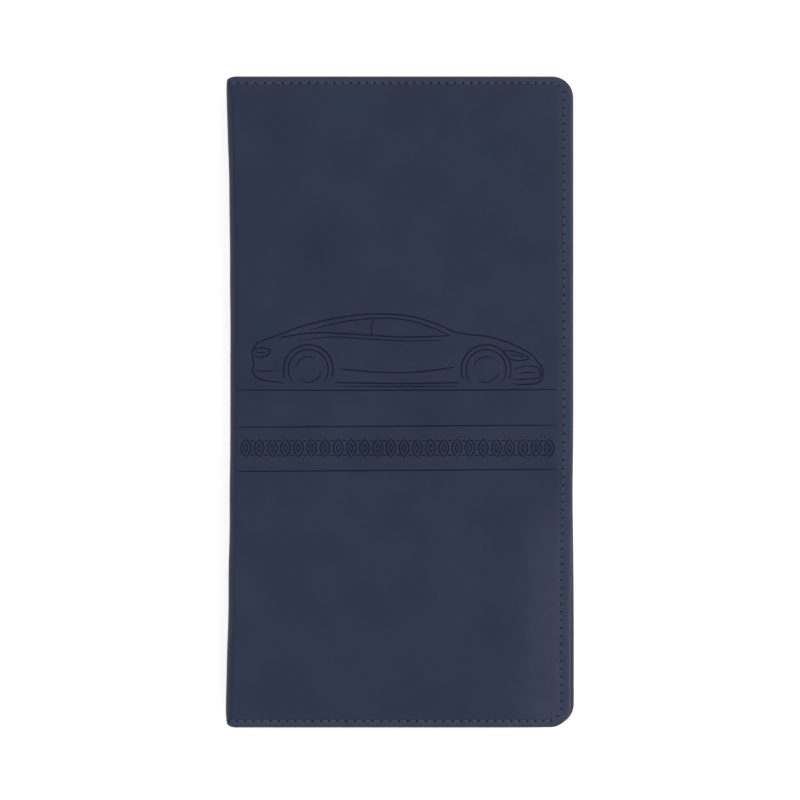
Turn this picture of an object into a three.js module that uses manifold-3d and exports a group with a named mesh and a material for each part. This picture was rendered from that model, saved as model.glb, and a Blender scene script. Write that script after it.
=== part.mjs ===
// Bifold wallet for a vehicle's registration and insurance papers, closed and lying on its back cover.
// Millimetres, +Z up. X runs from the spine (-X) to the free edge (+X) and Y along the length.
// The origin is the centre of the underside. Each cover is built from its outer face inwards, so its own
// Z is the depth below that face; the front cover is the same frame turned over on top.
import * as THREE from "three";
import { mergeVertices } from "three/addons/utils/BufferGeometryUtils.js";
import Module from "manifold-3d";

const wasm = await Module();
wasm.setup();

// ---- Driving dimensions ----
const WIDTH = 131; // closed, spine to free edge
const LENGTH = 245;
const CORNER = 8; // radius of the two free corners of each cover
const ARC_STEPS = 10; // segments in a rounded corner

// Sheet thicknesses.
const LEATHER = 1.0; // outer skin
const BOARD = 0.8; // stiffener, and the magnets let into it
const LINING = 0.3;
const HEM = 0.7; // outer skin skived and turned in over the lining
const PANEL = 0.6; // pocket leather
const CLEAR_SHEET = 0.3; // clear plastic of the windows
const CARD_PANEL = 0.45; // card slot leather
const GLUE = 0.05; // glue line between bonded layers

// Room left inside the pockets.
const WINDOW_ROOM = 0.5; // for a folded sheet of paper behind a window
const CARD_ROOM = 0.8; // for a 0.76 mm plastic card

// Fold between cover and spine: the hinge line is in the middle of the outer skin.
const HINGE_INSET = LEATHER / 2;
const FOLD_GAP = 0.75; // rigid leather starts this far from the hinge line
const GUTTER = 3.2; // inner layers of a cover stay this clear of the spine plane
const BOARD_GUTTER = 5; // the board stops short, so that the leather can fold

const WRAP = 1.0; // leather round the board's edge
const FIT = 0.2; // clearance between sub-parts in their own plane
const HEM_WIDTH = 10; // how far the skin is turned in
const EDGE_INSET = 0.8; // inner panels lie this far inside the outline
const SEAM_FROM_SIDE = 3.8; // stitch line to the free edge
const SEAM_FROM_END = 2.6; // stitch line to the top and bottom edges
const SEAM_CORNER = 5.2;
const THREAD = 0.6;
const THREAD_CLEARANCE = 0.15; // between the thread and its groove
const THREAD_SINK = 0.12; // the thread's face below the leather's face

const MAGNET_RADIUS = 6;
const MAGNET_HOLE_RADIUS = 6.3;
const MAGNET_FROM_EDGE = 12;
const MAGNET_FROM_MIDDLE = 89;

const LEFT = -WIDTH / 2;
const RIGHT = WIDTH / 2;
const TOP = LENGTH / 2;

// ---- Layers of a cover, as depths below its outer face ----
const boardDepth = LEATHER + GLUE;
const liningDepth = boardDepth + BOARD + GLUE;
const hemDepth = liningDepth + LINING + GLUE;
const panelDepth = hemDepth + HEM + GLUE; // slip pocket panel, resting on the hem
const overPanel = panelDepth + PANEL + GLUE; // what is sewn on the slip pocket panel starts here
const sheetDepth = overPanel + WINDOW_ROOM;
const frameDepth = sheetDepth + CLEAR_SHEET + GLUE;
const windowTop = frameDepth + PANEL;
const CARD_SLOTS = 3;
const cardPitchDepth = CARD_ROOM + CARD_PANEL;
const cardStackTop = overPanel + CARD_SLOTS * cardPitchDepth;

const COVER_CLEARANCE = 0.4; // between the card stack and the document window's frame, closed
const THICKNESS = cardStackTop + windowTop + COVER_CLEARANCE;

// ---- Card section and windows, in the plane of the covers ----
const CARD_LEFT = -40; // card section and card window start here, clear of the fold
const CARD_RIGHT = RIGHT - EDGE_INSET;
const BINDING = 4; // width of the binding round the card section
const CARD_TOP = 100; // mouth of the first card slot
const CARD_STEP = 15; // from one slot's mouth to the next
const SLOT_DEPTH = 52;
const BASE_FOLD = 1;
const CARD_BASE = CARD_TOP - (CARD_SLOTS - 1) * CARD_STEP - SLOT_DEPTH - BINDING;

const WINDOW_LIP = 7; // sewn edge of a window frame, pressed down on the panel below
const WINDOW_CORNER = 5;
const NOTCH_RADIUS = 13; // thumb notch in a window frame's mouth
const NOTCH_DEPTH = 7;
const SLIP_MOUTH = LEFT + 8; // the pockets open towards the spine, one step behind the other
const DOCUMENT_MOUTH = LEFT + 12;
const DOCUMENT_CUT = { left: -40, right: 51, bottom: -109, top: 109 };
const CARD_WINDOW_TOP = 8;
const CARD_WINDOW_CUT = { left: -26, right: 51, bottom: -109, top: -5 };

// ---- Materials ----
const material = (color, roughness, metalness = 0) =>
  new THREE.MeshStandardMaterial({ color, roughness, metalness });
const leather = material(0x303848, 0.55);
const innerLeather = material(0x2c3446, 0.6);
const liningCloth = material(0x1e222c, 0.85);
const greyBoard = material(0x8c8478, 0.9);
const clearPlastic = material(0xe8eef2, 0.12);
clearPlastic.transparent = true;
clearPlastic.opacity = 0.35;
const thread = material(0x3e4862, 0.7);
const magnetMetal = material(0xb8bcc0, 0.3, 1);

// ---- Solids ----
function solidOf(geometry) {
  const bare = geometry.clone();
  bare.deleteAttribute("normal");
  bare.deleteAttribute("uv");
  const merged = mergeVertices(bare, 1e-4);
  const mesh = new wasm.Mesh({
    numProp: 3,
    vertProperties: merged.attributes.position.array,
    triVerts: new Uint32Array(merged.index.array),
  });
  return new wasm.Manifold(mesh);
}

function geometryOf(solid) {
  const mesh = solid.getMesh();
  const geometry = new THREE.BufferGeometry();
  geometry.setAttribute("position", new THREE.BufferAttribute(mesh.vertProperties, 3));
  geometry.setIndex(new THREE.BufferAttribute(mesh.triVerts, 1));
  geometry.computeVertexNormals();
  return geometry;
}

// The first geometry with the others cut away.
function cut(geometry, ...tools) {
  let solid = solidOf(geometry);
  for (const tool of tools) solid = solid.subtract(solidOf(tool));
  return geometryOf(solid);
}

// A sheet of the given outline between two depths.
function slab(outline, from, to) {
  const geometry = new THREE.ExtrudeGeometry(outline, {
    depth: to - from,
    bevelEnabled: false,
    curveSegments: ARC_STEPS,
  });
  return geometry.translate(0, 0, from);
}

// ---- Outlines ----
function rectangle(left, right, bottom, top) {
  const shape = new THREE.Shape();
  shape.moveTo(left, bottom);
  shape.lineTo(right, bottom);
  shape.lineTo(right, top);
  shape.lineTo(left, top);
  return shape;
}

// A rectangle whose two corners on the free edge are round.
function tongue(left, right, halfLength, radius) {
  const shape = new THREE.Shape();
  shape.moveTo(left, -halfLength);
  shape.lineTo(right - radius, -halfLength);
  shape.absarc(right - radius, -halfLength + radius, radius, -Math.PI / 2, 0);
  shape.lineTo(right, halfLength - radius);
  shape.absarc(right - radius, halfLength - radius, radius, 0, Math.PI / 2);
  shape.lineTo(left, halfLength);
  return shape;
}

// The cover's own outline drawn in by an inset, starting at a given place near the spine.
const coverOutline = (left, inset) => tongue(left, RIGHT - inset, TOP - inset, CORNER - inset);

// The lower right part of the cover's outline, drawn in: one round corner.
function lowerRight(left, top, inset) {
  const right = RIGHT - inset;
  const bottom = -TOP + inset;
  const radius = Math.max(CORNER - inset, 1);
  const shape = new THREE.Shape();
  shape.moveTo(left, bottom);
  shape.lineTo(right - radius, bottom);
  shape.absarc(right - radius, bottom + radius, radius, -Math.PI / 2, 0);
  shape.lineTo(right, top);
  shape.lineTo(left, top);
  return shape;
}

function roundedRectangle({ left, right, bottom, top }, radius) {
  const shape = new THREE.Shape();
  shape.moveTo(left + radius, bottom);
  shape.lineTo(right - radius, bottom);
  shape.absarc(right - radius, bottom + radius, radius, -Math.PI / 2, 0);
  shape.lineTo(right, top - radius);
  shape.absarc(right - radius, top - radius, radius, 0, Math.PI / 2);
  shape.lineTo(left + radius, top);
  shape.absarc(left + radius, top - radius, radius, Math.PI / 2, Math.PI);
  shape.lineTo(left, bottom + radius);
  shape.absarc(left + radius, bottom + radius, radius, Math.PI, (3 * Math.PI) / 2);
  return shape;
}

function disc(x, y, radius) {
  const shape = new THREE.Shape();
  shape.absarc(x, y, radius, 0, 2 * Math.PI);
  return shape;
}

// The stitch line as a narrow band along the top, the free edge and the bottom.
function seamBand(left, width) {
  const edge = (offset) =>
    tongue(left, RIGHT - SEAM_FROM_SIDE + offset, TOP - SEAM_FROM_END + offset, SEAM_CORNER + offset);
  const shape = new THREE.Shape(edge(width / 2).getPoints(ARC_STEPS));
  const inner = edge(-width / 2).getPoints(ARC_STEPS);
  for (const point of inner.reverse()) shape.lineTo(point.x, point.y);
  return shape;
}

// A thumb notch that bites into a panel's mouth.
const notch = (mouth, y) => disc(mouth + NOTCH_DEPTH - NOTCH_RADIUS, y, NOTCH_RADIUS);

// ---- Sub-parts ----
function add(group, name, geometry, look) {
  const mesh = new THREE.Mesh(geometry, look);
  mesh.name = name;
  group.add(mesh);
}

const skinStart = LEFT + HINGE_INSET + FOLD_GAP;
const innerStart = LEFT + GUTTER;
const grooveDepth = THREAD_SINK + THREAD + THREAD_CLEARANCE;

function outerSkin() {
  const groove = seamBand(LEFT, THREAD + 2 * THREAD_CLEARANCE);
  return cut(slab(coverOutline(skinStart, 0), 0, LEATHER), slab(groove, -1, grooveDepth));
}

const magnetCentres = [MAGNET_FROM_MIDDLE, -MAGNET_FROM_MIDDLE].map((y) => [RIGHT - MAGNET_FROM_EDGE, y]);

function stiffener() {
  const holes = magnetCentres.map(([x, y]) => slab(disc(x, y, MAGNET_HOLE_RADIUS), 0, THICKNESS));
  const sheet = slab(coverOutline(LEFT + BOARD_GUTTER, WRAP + FIT), boardDepth, boardDepth + BOARD);
  return cut(sheet, ...holes);
}

// One turned-in strip of the outer skin: a flap over the lining with a wall round the board's edge.
function hemStrip(outline) {
  const strip = slab(outline, LEATHER + GLUE, hemDepth + HEM);
  const roomForBoard = slab(coverOutline(LEFT, WRAP), 0, hemDepth);
  return cut(strip, roomForBoard);
}

function addHems(group, side) {
  const flapStart = RIGHT - HEM_WIDTH;
  const flapEdge = TOP - HEM_WIDTH;
  const edgeStrip = tongue(flapStart, RIGHT, TOP, CORNER);
  add(group, `${side}_hem_side`, hemStrip(edgeStrip), leather);
  add(group, `${side}_hem_top`, hemStrip(rectangle(innerStart, flapStart - FIT, flapEdge, TOP)), leather);
  add(group, `${side}_hem_bottom`, hemStrip(rectangle(innerStart, flapStart - FIT, -TOP, -flapEdge)), leather);
}

// Skin, board, magnets, lining, hems, slip pocket panel and seam: the same on both covers.
function addCoverBase(group, side) {
  add(group, `${side}_outer_leather`, outerSkin(), leather);
  add(group, `${side}_board`, stiffener(), greyBoard);
  magnetCentres.forEach(([x, y], i) => {
    const magnet = slab(disc(x, y, MAGNET_RADIUS), boardDepth, boardDepth + BOARD);
    add(group, `${side}_magnet_${i === 0 ? "upper" : "lower"}`, magnet, magnetMetal);
  });
  const lining = slab(coverOutline(innerStart, WRAP + FIT), liningDepth, liningDepth + LINING);
  add(group, `${side}_lining`, lining, liningCloth);
  addHems(group, side);
  const slip = slab(coverOutline(SLIP_MOUTH, EDGE_INSET), panelDepth, panelDepth + PANEL);
  add(group, `${side}_slip_pocket_panel`, slip, innerLeather);
  const seam = slab(seamBand(skinStart, THREAD), THREAD_SINK, THREAD_SINK + THREAD);
  add(group, `${side}_seam_thread`, seam, thread);
}

// A leather frame round a clear sheet. Its sewn edges are pressed down, its mouth is open towards the spine.
function windowFrame(outline, pressedInside, opening, thumb) {
  const blank = slab(outline, overPanel, windowTop);
  const room = slab(pressedInside, 0, frameDepth);
  const hole = slab(roundedRectangle(opening, WINDOW_CORNER), 0, THICKNESS);
  return cut(blank, room, hole, slab(thumb, 0, THICKNESS));
}

function addDocumentWindow(group) {
  const inside = coverOutline(LEFT, EDGE_INSET + WINDOW_LIP);
  const frame = windowFrame(
    coverOutline(DOCUMENT_MOUTH, EDGE_INSET),
    inside,
    DOCUMENT_CUT,
    notch(DOCUMENT_MOUTH, 0),
  );
  add(group, "document_window_frame", frame, innerLeather);
  const sheet = coverOutline(DOCUMENT_MOUTH + NOTCH_DEPTH + FIT, EDGE_INSET + WINDOW_LIP + FIT);
  add(group, "document_window_sheet", slab(sheet, sheetDepth, sheetDepth + CLEAR_SHEET), clearPlastic);
}

function addCardWindow(group) {
  const pressedTop = CARD_WINDOW_TOP - WINDOW_LIP;
  const mouthNotch = notch(CARD_LEFT, (CARD_WINDOW_CUT.bottom + CARD_WINDOW_CUT.top) / 2);
  const frame = windowFrame(
    lowerRight(CARD_LEFT, CARD_WINDOW_TOP, EDGE_INSET),
    lowerRight(LEFT, pressedTop, EDGE_INSET + WINDOW_LIP),
    CARD_WINDOW_CUT,
    mouthNotch,
  );
  add(group, "card_window_frame", frame, innerLeather);
  const sheet = lowerRight(CARD_LEFT + NOTCH_DEPTH + FIT, pressedTop - FIT, EDGE_INSET + WINDOW_LIP + FIT);
  add(group, "card_window_sheet", slab(sheet, sheetDepth, sheetDepth + CLEAR_SHEET), clearPlastic);
}

// Card slots step down the cover. Each is a panel with the fold of its pocket below, and one binding
// closes the sides and the base of them all.
function addCardSection(group) {
  const left = CARD_LEFT + BINDING + FIT;
  const right = CARD_RIGHT - BINDING - FIT;
  for (let slot = 0; slot < CARD_SLOTS; slot += 1) {
    const mouth = CARD_TOP - slot * CARD_STEP;
    const base = mouth - SLOT_DEPTH + FIT;
    const pocket = overPanel + slot * cardPitchDepth;
    const panelFace = pocket + CARD_ROOM;
    const panel = slab(rectangle(left, right, base, mouth), panelFace, panelFace + CARD_PANEL);
    add(group, `card_slot_panel_${slot + 1}`, panel, innerLeather);
    const fold = slab(rectangle(left, right, base, base + BASE_FOLD), pocket + GLUE, panelFace - GLUE);
    add(group, `card_slot_base_${slot + 1}`, fold, liningCloth);
  }
  const blank = slab(rectangle(CARD_LEFT, CARD_RIGHT, CARD_BASE, CARD_TOP), overPanel, cardStackTop);
  const inside = rectangle(CARD_LEFT + BINDING, CARD_RIGHT - BINDING, CARD_BASE + BINDING, TOP);
  add(group, "card_section_binding", cut(blank, slab(inside, 0, THICKNESS)), innerLeather);
}

// The spine is the same stack without a board, built flat and stood on edge between the covers.
function addSpine(group) {
  const half = THICKNESS / 2 - HINGE_INSET - FOLD_GAP;
  const hemTop = TOP - HEM_WIDTH;
  const seamY = TOP - SEAM_FROM_END;
  const across = (bottom, top) => rectangle(-half, half, bottom, top);
  const grooveHalf = THREAD / 2 + THREAD_CLEARANCE;
  const groove = (y) => slab(rectangle(-THICKNESS, THICKNESS, y - grooveHalf, y + grooveHalf), -1, grooveDepth);
  const skin = cut(slab(across(-TOP, TOP), 0, LEATHER), groove(seamY), groove(-seamY));
  add(group, "spine_outer_leather", skin, leather);

  const innerHalf = half - LEATHER;
  const liningFace = LEATHER + GLUE;
  const flapFace = liningFace + LINING + GLUE;
  const liningEnd = TOP - WRAP - FIT;
  const lining = rectangle(-innerHalf, innerHalf, -liningEnd, liningEnd);
  add(group, "spine_lining", slab(lining, liningFace, liningFace + LINING), liningCloth);
  for (const [name, sign] of [["top", 1], ["bottom", -1]]) {
    const ends = [sign * hemTop, sign * TOP].sort((a, b) => a - b);
    const strip = slab(rectangle(-innerHalf, innerHalf, ...ends), liningFace, flapFace + HEM);
    const room = slab(rectangle(-THICKNESS, THICKNESS, -TOP + WRAP, TOP - WRAP), 0, flapFace);
    add(group, `spine_hem_${name}`, cut(strip, room), leather);
    const seam = [sign * seamY - THREAD / 2, sign * seamY + THREAD / 2];
    const row = slab(across(...seam), THREAD_SINK, THREAD_SINK + THREAD);
    add(group, `spine_seam_thread_${name}`, row, thread);
  }
}

// ---- Assembly ----
const backCover = new THREE.Group();
addCoverBase(backCover, "back");
addDocumentWindow(backCover);

const spine = new THREE.Group();
addSpine(spine);
spine.position.set(LEFT, 0, THICKNESS / 2);
spine.rotation.y = Math.PI / 2;

const frontCover = new THREE.Group();
addCoverBase(frontCover, "front");
addCardSection(frontCover);
addCardWindow(frontCover);
frontCover.position.z = THICKNESS;
frontCover.scale.z = -1;

const wallet = new THREE.Group();
wallet.add(backCover, spine, frontCover);

export default wallet;
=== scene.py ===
"""Looks of a bifold wallet for a vehicle's papers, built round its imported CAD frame.

Each piece is drawn on a flat cover in millimetres: u runs across the unrolled skin from the spine's middle,
y runs along the wallet, and h is the depth below the outer face. place() then wraps those points round the
spine and into the row frame, in metres.
"""

import math

import bmesh
import bpy
import numpy as np
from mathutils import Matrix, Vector, geometry, kdtree


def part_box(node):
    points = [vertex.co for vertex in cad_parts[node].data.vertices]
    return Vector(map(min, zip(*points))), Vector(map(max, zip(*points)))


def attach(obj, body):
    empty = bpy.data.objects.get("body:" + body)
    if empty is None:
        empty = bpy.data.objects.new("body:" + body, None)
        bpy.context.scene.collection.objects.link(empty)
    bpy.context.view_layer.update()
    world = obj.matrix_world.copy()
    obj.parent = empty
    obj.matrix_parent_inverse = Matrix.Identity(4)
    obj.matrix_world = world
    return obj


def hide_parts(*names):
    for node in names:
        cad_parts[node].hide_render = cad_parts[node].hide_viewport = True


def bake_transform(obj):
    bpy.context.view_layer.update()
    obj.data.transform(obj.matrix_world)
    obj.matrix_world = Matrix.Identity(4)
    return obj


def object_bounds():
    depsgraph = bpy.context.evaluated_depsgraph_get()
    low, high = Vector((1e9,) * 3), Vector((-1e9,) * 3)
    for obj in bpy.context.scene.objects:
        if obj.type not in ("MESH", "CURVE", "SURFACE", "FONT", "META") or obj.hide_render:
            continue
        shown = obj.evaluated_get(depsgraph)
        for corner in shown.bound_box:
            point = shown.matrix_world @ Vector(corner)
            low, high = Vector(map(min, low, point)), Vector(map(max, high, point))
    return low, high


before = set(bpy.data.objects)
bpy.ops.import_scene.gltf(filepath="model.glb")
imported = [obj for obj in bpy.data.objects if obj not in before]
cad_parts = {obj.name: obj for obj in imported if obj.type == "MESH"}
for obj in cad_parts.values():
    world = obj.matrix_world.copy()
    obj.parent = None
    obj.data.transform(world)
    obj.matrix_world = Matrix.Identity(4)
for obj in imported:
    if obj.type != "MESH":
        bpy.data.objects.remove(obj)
cad_low, cad_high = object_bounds()
MM = 0.001


def span(node, axis):
    """A CAD node's lowest and highest coordinate along X, Y or Z (0, 1 or 2), in millimetres."""
    low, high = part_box(node)
    return low[axis] / MM, high[axis] / MM


def extent(node):
    """A CAD node's left, right, bottom and top, seen from above."""
    return *span(node, 0), *span(node, 1)


# ---- Sizes, in millimetres, from the frame ----
LEFT, RIGHT = cad_low.x / MM, cad_high.x / MM
TOP = cad_high.y / MM
THICKNESS = cad_high.z / MM
CORNER = 8  # radius of a cover's free corners
SKIN = span("back_outer_leather", 2)[1]
PANEL_BACK, PANEL_FACE = span("back_slip_pocket_panel", 2)
SHEET_BACK, SHEET_FACE = span("document_window_sheet", 2)
FRAME_FACE = span("document_window_frame", 2)[1]
PANEL = PANEL_FACE - PANEL_BACK
GLUE = 0.05
LINING_THICK = 0.3
HEM_THICK = 0.7
BOARD_LIFT = span("back_lining", 2)[0] - SKIN - GLUE  # how far the board raises what lies on it
BOARD_EDGE = span("back_board", 0)[0]
CLIMB_BEFORE, CLIMB = 2.6, 2.2  # the layers over the board climb from this far before its edge, over this run
HEM_WIDTH = 10
HEM_CUT = 0.14  # how round the hem's cut edge is
SLIP_MOUTH = span("back_slip_pocket_panel", 0)[0]
DOCUMENT_MOUTH = span("document_window_frame", 0)[0]
CARD_LEFT, CARD_RIGHT, CARD_BASE, CARD_TOP = extent("card_section_binding")
CARD_WINDOW_TOP = span("card_window_frame", 1)[1]
INSET = 0.8  # inner panels lie this far inside the outline
BINDING = 4

# ---- The fold ----
FOLD_RADIUS = 2.5  # of the outer face, where the cover turns into the spine
HALF_SPINE = THICKNESS / 2 - FOLD_RADIUS  # flat part of half the spine
U_FOLD = LEFT + FOLD_RADIUS  # the cover is flat from here on, and u equals x
U_MID = U_FOLD - FOLD_RADIUS * math.pi / 2 - HALF_SPINE  # the spine's middle
BOW = 1.75  # the spine sinks in between its stiffer ends
BOW_MIDDLE = 25
BOW_REACH = (140, 97)  # below and above the middle
BOW_POWER = 2.35
BOW_FADE = 22
END_ROUND = 2.4  # the spine's ends are pinched round
END_FADE = 6
LEAN = {"front": -0.85, "back": 0.7}  # the two covers don't close quite edge to edge in the lower half
LEAN_FROM, LEAN_OVER = 0, 90
DROOP = 1.1  # the front cover curls down along the lower part of its free edge
DROOP_FROM, DROOP_OVER = (40, -20), (26, 60)
SAG, SAG_REACH = 0.1, 5  # and a little along its bottom edge

# ---- The seam ----
SEAM_SIDE, SEAM_END, SEAM_CORNER = 3.8, 2.6, 5.2  # in from the free edge, in from the ends, its own corner
PITCH = 3.15  # from one needle hole to the next
UNEVEN = 0.09  # how much the machine's step varies
NEEDLE = (0.27, 0.58)  # radii of a needle hole's floor and mouth
NEEDLE_DEPTH = 0.38  # with the swell and the valley it stays within the leather's thickness
THREAD_RADIUS = 0.27

# ---- The pressed drawing ----
STROKE = (0.11, 0.3, 0.46)  # half-widths of a pressed line's floor, its mouth and the flat leather beside it
STROKE_DEPTH = 0.28
TAPER = 0.4  # share of its width that a line keeps at its ends

# ---- The outer face's relief ----
PAD = 0.28  # how far the face swells inside the seam
PAD_REACH = 5
VALLEY = 0.18  # the seam pulls the face in
VALLEY_WIDTH = 0.85
WAVE, WAVE_FADE = 0.12, 6  # unevenness of the face, and how far in from the seam it sets in
MAGNET_RISE = 0.09
MAGNET_EDGE = (5.4, 6.8)  # the rise over a magnet fades out between these radii

ROLL = 1.475  # the rolled edge's radius in plan
SHARPEST = 1.0  # smallest corner radius of an inner outline
SIDE_STEPS, ARC_STEPS = 150, 12  # of an outline's free edge, and of each of its corners


def smooth(t):
    t = np.clip(t, 0, 1)
    return t * t * (3 - 2 * t)


def ramp(value, low, high):
    """Rises smoothly from 0 at low to 1 at high."""
    return smooth((value - low) / (high - low))


# ---- From the flat cover to the row frame ----
def place(side, u, y, h):
    """Row-frame points, in metres, of flat points in millimetres."""
    u, y, h = (np.asarray(v, float) for v in (u, y, h))
    from_mid = u - U_MID
    turn = np.clip((from_mid - HALF_SPINE) / FOLD_RADIUS, 0, math.pi / 2)
    radius = FOLD_RADIUS - h
    x = LEFT + FOLD_RADIUS - radius * np.cos(turn) + np.maximum(u - U_FOLD, 0)
    rise = np.minimum(from_mid, HALF_SPINE) + radius * np.sin(turn)
    reach = np.where(y < BOW_MIDDLE, *BOW_REACH)
    bow = 1 - np.clip(np.abs(y - BOW_MIDDLE) / reach, 0, 1) ** BOW_POWER
    x = x + BOW * bow * (1 - smooth((u - U_FOLD) / BOW_FADE))
    from_end = np.clip((TOP - np.abs(y)) / END_ROUND, 0, 1)
    pinch = END_ROUND * (1 - np.sqrt(1 - (1 - from_end) ** 2))
    x = x + pinch * (1 - smooth((u - U_FOLD) / END_FADE))
    x = x + LEAN[side] * smooth((LEAN_FROM - y) / LEAN_OVER) * np.clip((u - LEFT) / (RIGHT - LEFT), 0, 1)
    if side == "front":
        curl = smooth((u - DROOP_FROM[0]) / DROOP_OVER[0]) * smooth((DROOP_FROM[1] - y) / DROOP_OVER[1])
        sag = np.exp(-(y + TOP) / SAG_REACH) * smooth((u - U_MID) / (U_FOLD - U_MID))
        z = THICKNESS / 2 + rise - DROOP * curl - SAG * sag
    else:
        z = THICKNESS / 2 - rise
    return np.stack([x, y, z], -1) * MM


def across_both(side, u):
    """How far u is from the spine's middle, counted over both covers: negative on the back."""
    return (u - U_MID) * (1 if side == "front" else -1)


def lift(u):
    """How far the board raises the inner layers at u. They climb just before its edge."""
    return BOARD_LIFT * smooth((u - BOARD_EDGE + CLIMB_BEFORE) / CLIMB)


def inside(u, y, right, top, corner):
    """Distance in from an outline with two round corners on the free edge, open towards the spine."""
    du, dy = right - u, top - np.abs(y)
    rounded = corner - np.hypot(corner - du, corner - dy)
    return np.where((du < corner) & (dy < corner), rounded, np.minimum(du, dy))


def from_outline(u, y):
    return inside(u, y, RIGHT, TOP, CORNER)


def seam_inside(u, y):
    return inside(u, y, RIGHT - SEAM_SIDE, TOP - SEAM_END, SEAM_CORNER)


waves = np.random.default_rng(11)
WAVE_LENGTHS = waves.uniform(22, 80, 9)
WAVE_ANGLES = waves.uniform(0, math.pi, 9)
WAVE_PHASES = waves.uniform(0, 2 * math.pi, 9)


def undulation(across, y):
    """A gentle unevenness between -1 and 1, the same on every run."""
    total = 0
    for length, angle, phase in zip(WAVE_LENGTHS, WAVE_ANGLES, WAVE_PHASES):
        along = across * math.cos(angle) + y * math.sin(angle)
        total = total + np.sin(2 * math.pi * along / length + phase)
    return total / (len(WAVE_LENGTHS) / 2)


MAGNETS = [
    (sum(span(name, 0)) / 2, sum(span(name, 1)) / 2) for name in ("front_magnet_upper", "front_magnet_lower")
]


def face_depth(side, u, y):
    """Depth of the outer face, without its pressed drawing and needle holes."""
    q = seam_inside(u, y)
    inward = np.maximum(q, 0)
    depth = PAD * np.exp(-inward / PAD_REACH)
    depth = depth + VALLEY * np.exp(-((q / VALLEY_WIDTH) ** 2))
    uneven = 1 + undulation(across_both(side, u), y)
    depth = depth + WAVE * uneven * (1 - np.exp(-inward / WAVE_FADE))
    for mx, my in MAGNETS:
        depth = depth - MAGNET_RISE * (1 - ramp(np.hypot(u - mx, y - my), *MAGNET_EDGE))
    return depth


# ---- Lines and loops in the flat plane ----
def spaced(a, b, step):
    """Evenly spaced values from a up to but not including b."""
    n = max(1, round(abs(b - a) / step))
    return a + (b - a) * np.arange(n) / n


def joined(*parts):
    """One line from (us, ys) parts, where either may be a single number."""
    parts = [np.broadcast_arrays(np.atleast_1d(u), np.atleast_1d(y)) for u, y in parts]
    return np.concatenate([np.stack(part, -1) for part in parts])


FOLD_US = np.append(spaced(U_MID, U_FOLD + 1.5, 0.6), spaced(U_FOLD + 1.5, RIGHT - CORNER, 1.7))
SHARES = (FOLD_US - U_MID) / (RIGHT - CORNER - U_MID)  # where an outline's points stand on its long runs


def corner(cu, cy, r, turn, quarter):
    """The points at turn in a quarter circle. Quarter 0 is at the bottom right, and they go anticlockwise."""
    angle = turn + (quarter - 1) * math.pi / 2
    return cu + r * np.cos(angle), cy + r * np.sin(angle)


def cover_path(inset):
    """From the spine's middle round the free edge and back, with the same number of points at any inset."""
    r = max(CORNER - inset, SHARPEST)
    cu, cy = RIGHT - inset - r, TOP - inset - r
    end = TOP - inset
    turn = np.arange(ARC_STEPS) / ARC_STEPS * math.pi / 2
    run = U_MID + (cu - U_MID) * SHARES
    back = U_MID + (cu - U_MID) * np.append(SHARES, 1)[::-1]
    return joined(
        (run, -end),
        corner(cu, -cy, r, turn, 0),
        (cu + r, -cy + 2 * cy * np.arange(SIDE_STEPS) / SIDE_STEPS),
        corner(cu, cy, r, turn, 1),
        (back, end),
    )


def curve(points, step=0.8):
    """A smooth line through the given points."""
    p = np.array(points, float)
    p = np.vstack([2 * p[0] - p[1], p, 2 * p[-1] - p[-2]])
    out = []
    for a, b, c, d in zip(p, p[1:], p[2:], p[3:]):
        n = max(1, round(np.linalg.norm(c - b) / step))
        t = (np.arange(n) / n)[:, None]
        square, cube = 2 * a - 5 * b + 4 * c - d, 3 * b - a - 3 * c + d
        out.append(0.5 * (2 * b + (c - a) * t + square * t**2 + cube * t**3))
    return np.vstack(out + [p[-2:-1]])


def arc(cx, cy, rx, ry, a, b, step=0.8):
    """Part of an ellipse from angle a to b, in degrees."""
    n = max(6, round(abs(math.radians(b - a)) * max(rx, ry) / step))
    angle = np.radians(np.linspace(a, b, n + 1))
    return np.stack([cx + rx * np.cos(angle), cy + ry * np.sin(angle)], -1)


def side_normals(line, closed):
    """Unit vectors to the left of a line at each point."""
    if closed:
        ahead, behind = np.roll(line, -1, 0), np.roll(line, 1, 0)
    else:
        ahead, behind = np.vstack([line[1:], line[-1:]]), np.vstack([line[:1], line[:-1]])
    d = ahead - behind
    d /= np.linalg.norm(d, axis=1)[:, None]
    return np.stack([-d[:, 1], d[:, 0]], -1)


def shifted(line, distance, closed=True):
    return line + side_normals(line, closed) * distance


def distances(points, starts, ends, widths=None):
    """Distance from each point to the nearest segment, measured in the segment's own width if given."""
    d = ends - starts
    length2 = np.maximum((d**2).sum(1), 1e-12)
    out = np.empty(len(points))
    for i in range(0, len(points), 2000):
        p = points[i : i + 2000, None]
        t = np.clip(((p - starts) * d).sum(2) / length2, 0, 1)
        apart = np.sqrt((((starts + t[..., None] * d) - p) ** 2).sum(2))
        if widths is not None:
            apart /= widths[0] + t * (widths[1] - widths[0])
        out[i : i + 2000] = apart.min(1)
    return out


def segments(lines):
    """The (starts, ends) of all segments of some (line, closed) pairs."""
    starts = np.vstack([line if closed else line[:-1] for line, closed in lines])
    ends = np.vstack([np.roll(line, -1, 0) if closed else line[1:] for line, closed in lines])
    return starts, ends


def within(points, loop):
    """True for points inside a closed loop."""
    a, b = loop, np.roll(loop, -1, 0)
    out = np.empty(len(points), bool)
    for i in range(0, len(points), 4000):
        px, py = points[i : i + 4000, 0][:, None], points[i : i + 4000, 1][:, None]
        crosses = (a[:, 1] > py) != (b[:, 1] > py)
        rise = np.where(crosses, b[:, 1] - a[:, 1], 1)
        at = a[:, 0] + (py - a[:, 1]) / rise * (b[:, 0] - a[:, 0])
        out[i : i + 4000] = (crosses & (px < at)).sum(1) % 2 == 1
    return out


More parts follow.
